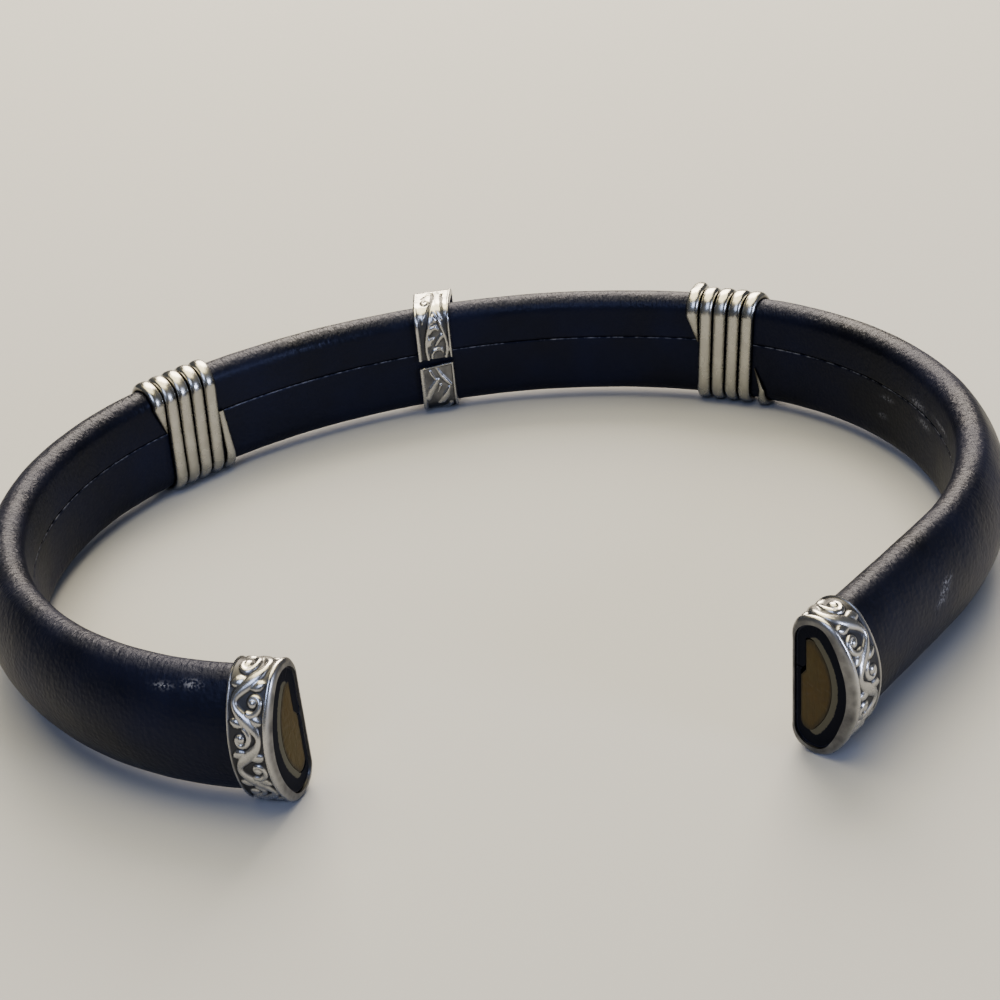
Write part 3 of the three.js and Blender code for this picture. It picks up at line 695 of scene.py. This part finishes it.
for reach, width in ((across_grid, RAIL_WIDTH), (RING_WIDTH - across_grid, RIGHT_RAIL_WIDTH)):
    share = np.clip(reach / width, 0, 1)
    rails.append((SLEEVE_TOP - 0.01) * np.clip(np.sin(math.pi * (0.14 + 0.86 * share)), 0, 1) ** 0.35)
end_share = np.clip((ring_girth - up_grid) / 0.24, 0, 1)
foot_rail = (SLEEVE_TOP - 0.02) * np.clip(np.sin(math.pi * (0.3 + 0.7 * end_share)), 0, 1) ** 0.5
near_edge = np.minimum(across_grid, RING_WIDTH - across_grid)
heights = np.maximum.reduce([*rails, SLEEVE_FLOOR + relief, np.where(end_share < 1, foot_rail, 0)])
heights = np.where(near_edge < 0.09, np.maximum(*rails), heights)
low_share = np.clip(1 - (ring_girth - up_grid) / 2.2, 0, 1)
around_grid = RING_GAP / 2 - INNER_FACE / 2 + up_grid + RING_GAP_SLANT * (across_grid / RING_WIDTH - 0.5) * low_share
along_grid = RING_PLACE - RING_WIDTH / 2 + across_grid + RING_TURN * EDGE_RADIUS
bright_share = np.where(near_edge < 0.09, 1, np.clip((heights - SLEEVE_FLOOR) / tall, 0, 1))
lean = np.full(heights.shape, RING_TURN)
top = np.stack([along_grid, around_grid, heights, lean, bright_share], -1)
foot = np.stack([along_grid, around_grid, np.full(heights.shape, METAL_FOOT), lean, bright_share], -1)
ring = flat_sheet("centre_ring_cast", top, foot, ("lean", "relief"), closed=False)
wrap_round_band(ring, cast_silver, METAL_LIFT, ring_guide)
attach(ring, "root")
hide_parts("centre_ring")

# Wire windings
# Half-round silver wire wound tightly round the band on both sides of the back, flat side in.
# Each winding starts at a point tucked down the inner face and ends in a tail that rises there.
WIRE_WIDTH = 1.06
WIRE_HEIGHT = 0.42
WIRE_LIFT = 0.03
WIRE_GAP = 0.06
WIRE_TURNS = 5
WIRE_HEAD_LENGTH = 2.2
WIRE_HEAD_LEAN = 0.5
WIRE_POINT_SHARE = 0.12
WIRE_STEP = 0.14
WIRE_WAVER = 0.02
THINNING_REACH = 1.2
LOOSE_REACH = 6
LOOSE_SHARE = 0.58
TOP_PLACE = EDGE_RADIUS * math.pi / 2

wire_tree, given = new_tree("half-round wire", (
    ("Laid line", "Geometry"), ("Wire width", "Float"), ("Wire height", "Float"), ("Facets", "Int"),
))
line = add(wire_tree, "GeometryNodeMeshToCurve", {"Mesh": given["Laid line"]})
line = add(wire_tree, "GeometryNodeSetCurveNormal", {"Curve": line.outputs[0]}, mode="Z_UP")
taper = add(wire_tree, "GeometryNodeInputNamedAttribute", {"Name": "taper"}, data_type="FLOAT")
round_line = add(wire_tree, "GeometryNodeCurvePrimitiveCircle",
                 {"Resolution": given["Facets"], "Radius": 1.0}, mode="RADIUS")
round_spot = add(wire_tree, "GeometryNodeInputPosition").outputs[0]
round_place = add(wire_tree, "ShaderNodeSeparateXYZ", {0: round_spot}).outputs
half_width = add(wire_tree, "ShaderNodeMath", {0: given["Wire width"], 1: 0.5}, operation="MULTIPLY")
side = add(wire_tree, "ShaderNodeMath", {0: round_place["X"]}, operation="SIGN")
spread = add(wire_tree, "ShaderNodeMath", {0: round_place["X"]}, operation="ABSOLUTE")
spread = add(wire_tree, "ShaderNodeMath", {0: spread.outputs[0], 1: 0.72}, operation="POWER")
spread = add(wire_tree, "ShaderNodeMath", {0: spread.outputs[0], 1: side.outputs[0]}, operation="MULTIPLY")
wide = add(wire_tree, "ShaderNodeMath", {0: spread.outputs[0], 1: half_width.outputs[0]}, operation="MULTIPLY")
above = add(wire_tree, "ShaderNodeMath", {0: round_place["Y"], 1: 0.0}, operation="MINIMUM")
above = add(wire_tree, "ShaderNodeMath", {0: above.outputs[0]}, operation="ABSOLUTE")
above = add(wire_tree, "ShaderNodeMath", {0: above.outputs[0], 1: 0.95}, operation="POWER")
wire_height = add(wire_tree, "ShaderNodeMath", {0: given["Wire height"], 1: -1.0}, operation="MULTIPLY")
tall_place = add(wire_tree, "ShaderNodeMath", {0: above.outputs[0], 1: wire_height.outputs[0]}, operation="MULTIPLY")
half_round = add(wire_tree, "ShaderNodeCombineXYZ", {"X": wide.outputs[0], "Y": tall_place.outputs[0]})
profile = add(wire_tree, "GeometryNodeSetPosition",
              {"Geometry": round_line.outputs[0], "Position": half_round.outputs[0]})
wire_body = add(wire_tree, "GeometryNodeCurveToMesh", {
    "Curve": line.outputs[0], "Profile Curve": profile.outputs[0], "Scale": taper.outputs["Attribute"],
    "Fill Caps": True,
})
add(wire_tree, "NodeGroupOutput", {0: wire_body.outputs[0]})

# Drawn silver wire, polished by wear on its crown; its lower sides in the narrow gaps are darkened, partly tarnish and
# partly painted shade
drawn_silver, tree, shader = new_material("drawn_silver_wire")
place = place_in_mm(tree)
sheet_place = add(tree, "ShaderNodeAttribute", attribute_name="flat").outputs["Vector"]
level = add(tree, "ShaderNodeSeparateXYZ", {0: sheet_place}).outputs["Z"]
drawn = add(tree, "ShaderNodeMapping", {"Vector": sheet_place, "Scale": (14, 0.5, 14)}).outputs[0]
drawn = noise(tree, drawn, 1.0, 3)
cloud = noise(tree, place, 0.9, 3)
# Painted shade: the lower sides of each turn, down in the gaps and against the leather, darken towards the colour
# below, partly as tarnish
tarnish_and_shade_level = add(tree, "ShaderNodeMath", {0: cloud, 1: -0.12, 2: level}, operation="MULTIPLY_ADD").outputs[0]
clean_and_lit = add(tree, "ShaderNodeMapRange", {"Value": tarnish_and_shade_level, "From Min": -0.06, "From Max": 0.22},
            interpolation_type="SMOOTHSTEP").outputs[0]
silver_tone = blend(tree, cloud, paint("#989896"), paint("#C2C1BC"))
colour = blend(tree, clean_and_lit, paint("#3A3733"), silver_tone)
polish = ramp(tree, cloud, 0.3, 0.7, 0.2, 0.33)
drawn_bump = add(tree, "ShaderNodeBump", {"Height": drawn, "Strength": 0.3, "Distance": 0.00002})
dents = add(tree, "ShaderNodeBump", {
    "Height": cloud, "Strength": 0.22, "Distance": 0.0001, "Normal": drawn_bump.outputs[0],
})
tree.links.new(colour, shader.inputs["Base Color"])
tree.links.new(polish, shader.inputs["Roughness"])
tree.links.new(dents.outputs[0], shader.inputs["Normal"])
shader.inputs["Metallic"].default_value = 1

LAST_FOOT = WIRE_TURNS * GIRTH - INNER_FACE
LAST_TOP = TOP_PLACE + (WIRE_TURNS - 1) * GIRTH
# The last columns: the tail's rise, spread, lean and share of the width left at its tip, and how
# far the first turn stands off the outer side. The right winding's first turn is loose.
for side_name, first_top, tail_rise, tail_spread, tail_lean, tail_tip, loose_rise in (
    ("left", 0.3627 * LEFT_END, 3.5, 0.0, -0.42, 0.5, 0.0),
    ("right", 0.2268 * RIGHT_END, 1.7, 0.4, -0.75, WIRE_POINT_SHARE, 0.42),
):
    tail_end = LAST_FOOT + tail_rise
    laid = np.linspace(-WIRE_HEAD_LENGTH, tail_end, round((tail_end + WIRE_HEAD_LENGTH) / WIRE_STEP))
    head = np.clip(-laid / WIRE_HEAD_LENGTH, 0, 1)
    tail = np.clip((laid - LAST_FOOT) / tail_rise, 0, 1)
    spread = tail_spread * np.clip((laid - LAST_TOP) / (LAST_FOOT - LAST_TOP), 0, 1)
    across = first_top + (WIRE_WIDTH + WIRE_GAP) * (laid - TOP_PLACE) / GIRTH
    across += WIRE_HEAD_LEAN * head + spread + tail_lean * tail + WIRE_WAVER * np.sin(laid * 0.37 + first_top)
    thinning = np.clip((laid - LAST_FOOT + THINNING_REACH) / (tail_rise + THINNING_REACH), 0, 1) ** 0.6
    taper_share = 1 - np.maximum(head * (1 - WIRE_POINT_SHARE), thinning * (1 - tail_tip))
    past_top = np.clip(laid - TOP_PLACE, 0, LOOSE_REACH)
    shoulder = np.clip(past_top / EDGE_RADIUS, 0, 1.2)
    straight_out = LOOSE_SHARE * (EDGE_RADIUS + WIRE_HEIGHT) * (1 / np.cos(shoulder) - 1)
    loose = np.minimum(straight_out, loose_rise) * np.clip((LOOSE_REACH - past_top) / 4, 0, 1)
    wire = new_piece(f"wire_winding_{side_name}", np.c_[across, laid, loose], [])
    wire.data.edges.add(len(laid) - 1)
    wire.data.edges.foreach_set("vertices", np.stack([np.arange(len(laid) - 1), np.arange(1, len(laid))], 1).ravel())
    store(wire, "taper", taper_share)
    run_tree(wire, wire_tree, wire_width=WIRE_WIDTH, wire_height=WIRE_HEIGHT, facets=28)
    wrap_round_band(wire, drawn_silver, WIRE_LIFT)
    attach(wire, "root")
    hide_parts(f"wire_wrap_{side_name}")

for guide in (path_guide, section_guide, ring_guide):
    bpy.data.objects.remove(guide)

# Floor, light and camera
# Matt pale paper under the cuff, a broad soft light behind it, low enough to gleam along the top
# edge, a softer one above, two weak cool ones in front, and the camera where the photograph has it.
floor = new_piece("floor", [(-2, -2, 0), (2, -2, 0), (2, 2, 0), (-2, 2, 0)], [(0, 1, 2, 3)])
matt_paper, tree, shader = new_material("matt_pale_paper")
shader.inputs["Base Color"].default_value = paint("#A2A4A9")
shader.inputs["Roughness"].default_value = 0.9
shader.inputs["Specular IOR Level"].default_value = 0.1
floor.data.materials.append(matt_paper)

for name, spot, size, power, tone in (
    ("back_light", (0.05, 0.34, 0.30), 0.34, 3.8, "#FFF0D8"),
    ("top_light", (-0.02, 0.06, 0.42), 0.46, 2.8, "#FFF0C4"),
    ("front_light", (-0.16, -0.42, 0.38), 0.26, 1.0, "#C8D8FF"),
    ("side_light", (0.34, -0.26, 0.12), 0.12, 0.7, "#D8E2FF"),
):
    light = bpy.data.lights.new(name, "AREA")
    light.size = size
    light.energy = power
    light.color = paint(tone)[:3]
    lamp = bpy.data.objects.new(name, light)
    lamp.matrix_world = Matrix.Translation(spot) @ (-Vector(spot)).to_track_quat("-Z", "Y").to_matrix().to_4x4()
    bpy.context.collection.objects.link(lamp)

world = bpy.data.worlds.new("studio")
world.use_nodes = True
world.node_tree.nodes["Background"].inputs["Color"].default_value = paint("#C9CDD4")
world.node_tree.nodes["Background"].inputs["Strength"].default_value = 0.2
bpy.context.scene.world = world
bpy.context.scene.view_settings.look = "AgX - Medium High Contrast"

CAMERA_TURN, CAMERA_RISE, CAMERA_ROLL = (math.radians(angle) for angle in (-1.955, 29.644, -5.622))
CAMERA_TARGET = Vector((0.356, 0.400, 3.979)) * 0.001
CAMERA_DISTANCE = 0.11127
backward = Vector((math.sin(CAMERA_TURN) * math.cos(CAMERA_RISE), -math.cos(CAMERA_TURN) * math.cos(CAMERA_RISE),
                   math.sin(CAMERA_RISE)))
level_right = Vector((math.cos(CAMERA_TURN), math.sin(CAMERA_TURN), 0))
level_up = backward.cross(level_right)
right = math.cos(CAMERA_ROLL) * level_right + math.sin(CAMERA_ROLL) * level_up
upward = backward.cross(right)
camera_data = bpy.data.cameras.new("camera")
camera_data.sensor_width = 36
camera_data.lens = 60.796
camera_data.clip_start = 0.005
camera = bpy.data.objects.new("camera", camera_data)
camera_turn = Matrix((right, upward, backward)).transposed().to_4x4()
camera.matrix_world = Matrix.Translation(CAMERA_TARGET + backward * CAMERA_DISTANCE) @ camera_turn
bpy.context.collection.objects.link(camera)
bpy.context.scene.camera = camera
